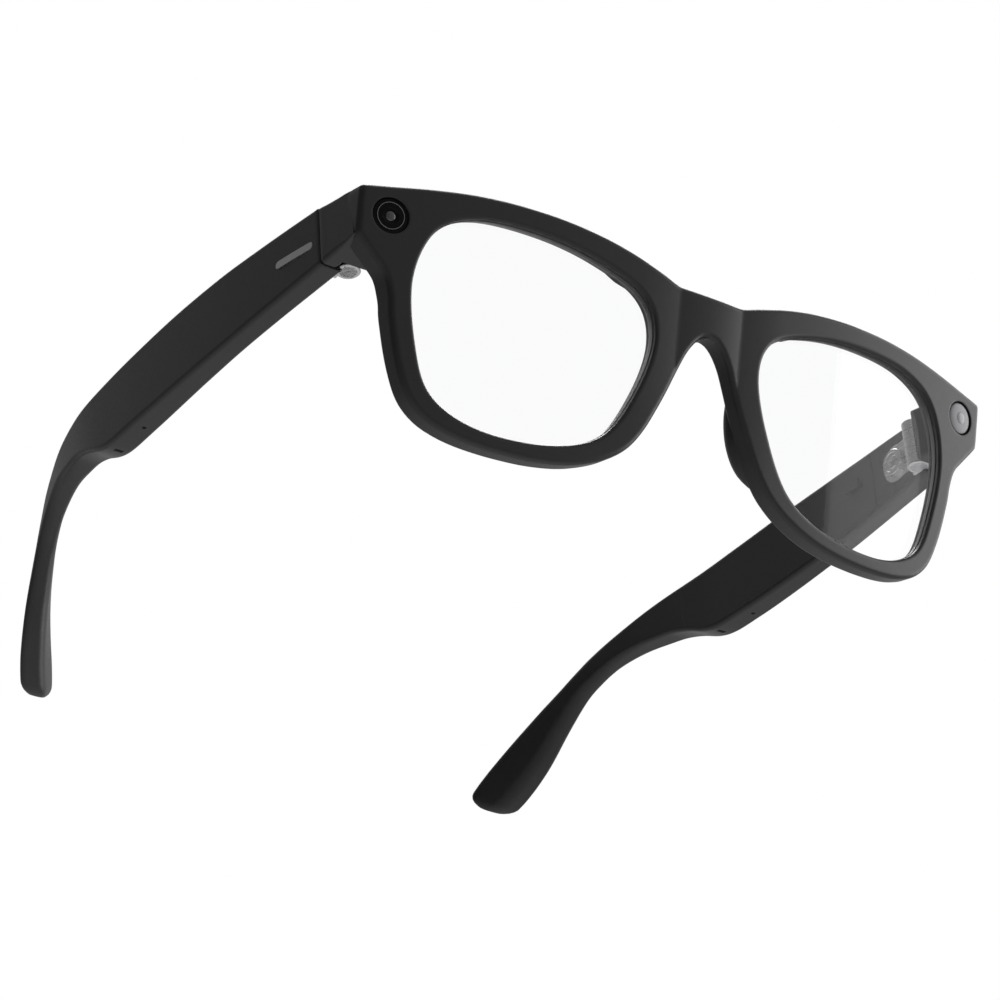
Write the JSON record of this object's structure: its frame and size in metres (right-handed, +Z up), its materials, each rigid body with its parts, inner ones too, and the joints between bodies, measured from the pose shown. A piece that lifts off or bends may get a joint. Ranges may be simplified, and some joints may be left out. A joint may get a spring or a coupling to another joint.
{
  "type": "smart glasses",
  "caption": "Camera glasses with a curved full-rim front, clear lenses, a recording light and folding temples that hold the electronics.",
  "frame": {"origin": "under the middle of the glasses, on the table that the rims and the temple tips stand on", "axes": "+X to the wearer's left, +Y from the front back to the ears, +Z up"},
  "size_m": [0.1498, 0.1554, 0.0466],
  "materials": {
    "frame_plastic": "satin charcoal acetate-like plastic",
    "lens": "clear polished",
    "camera_black": "gloss black",
    "camera_ring": "dark satin",
    "camera_glass": "black polished",
    "light_window": "smoky translucent",
    "light_guide": "clear",
    "dark_rubber": "matte",
    "board": "satin green lacquer",
    "flex": "amber film",
    "chip_metal": "satin",
    "contact_gold": "polished",
    "hinge_steel": "satin",
    "screw_steel": "satin",
    "battery_foil": "matte foil",
    "dark_electronics": "matte",
    "grille": "matte mesh",
    "copper": "thin foil",
    "button_plastic": "satin",
    "inlay": "satin"
  },
  "bodies": {
    "front": {"front_frame": "frame_plastic", "brow_cover": "frame_plastic", "endpiece_housing_right": "frame_plastic", "endpiece_housing_left": "frame_plastic", "lens_right": "lens", "lens_left": "lens", "nose_pad_right": "frame_plastic", "nose_pad_left": "frame_plastic", "camera_bezel": "camera_black", "camera_ring": "camera_ring", "camera_window": "camera_glass", "camera_barrel": "camera_black", "camera_module": "dark_electronics", "light_gasket": "dark_rubber", "light_window": "light_window", "light_guide": "light_guide", "light_board": "board", "contact_carrier": "camera_black", "charge_contacts": "contact_gold", "front_flex": "flex", "nose_microphone": "dark_electronics", "front_leaf_right": "hinge_steel", "front_leaf_left": "hinge_steel", "front_leaf_screws_right": "screw_steel", "front_leaf_screws_left": "screw_steel", "hinge_pin_right": "screw_steel", "hinge_pin_left": "screw_steel"},
    "temple_right": {"temple_shell_right": "frame_plastic", "temple_cover_right": "frame_plastic", "temple_leaf_right": "hinge_steel", "leaf_screws_right": "screw_steel", "main_board": "board", "processor_shield": "chip_metal", "touch_sensor": "flex", "speaker_right": "dark_electronics", "speaker_grille_right": "grille", "microphone_right": "chip_metal", "antenna_right": "copper", "button_switch": "dark_electronics", "inlay_right": "inlay"},
    "temple_left": {"temple_shell_left": "frame_plastic", "temple_cover_left": "frame_plastic", "temple_leaf_left": "hinge_steel", "leaf_screws_left": "screw_steel", "battery": "battery_foil", "power_board": "board", "power_switch": "dark_electronics", "speaker_left": "dark_electronics", "speaker_grille_left": "grille", "microphone_left": "chip_metal", "antenna_left": "copper", "inlay_left": "inlay"},
    "capture_button": {"capture_button": "button_plastic"},
    "power_slider": {"power_slider": "button_plastic"}
  },
  "joints": [
    {"name": "temple_fold_left", "type": "hinge", "parent": "front", "child": "temple_left", "pos_m": [0.0652, -0.0566, 0.03795], "axis": [0, 0.1183, 0.993], "range_deg": [0, 87]},
    {"name": "temple_fold_right", "type": "hinge", "parent": "front", "child": "temple_right", "pos_m": [-0.0652, -0.0566, 0.03795], "axis": [0, -0.1183, -0.993], "range_deg": [0, 71]},
    {"name": "capture_button_press", "type": "slide", "parent": "temple_right", "child": "capture_button", "axis": [0, -0.1183, -0.993], "range_m": [0, 0.00035], "stiffness_N_per_m": 800, "springref_m": -0.0002},
    {"name": "power_slide", "type": "slide", "parent": "temple_left", "child": "power_slider", "axis": [0, 0.993, -0.1183], "range_m": [0, 0.002]}
  ]
}
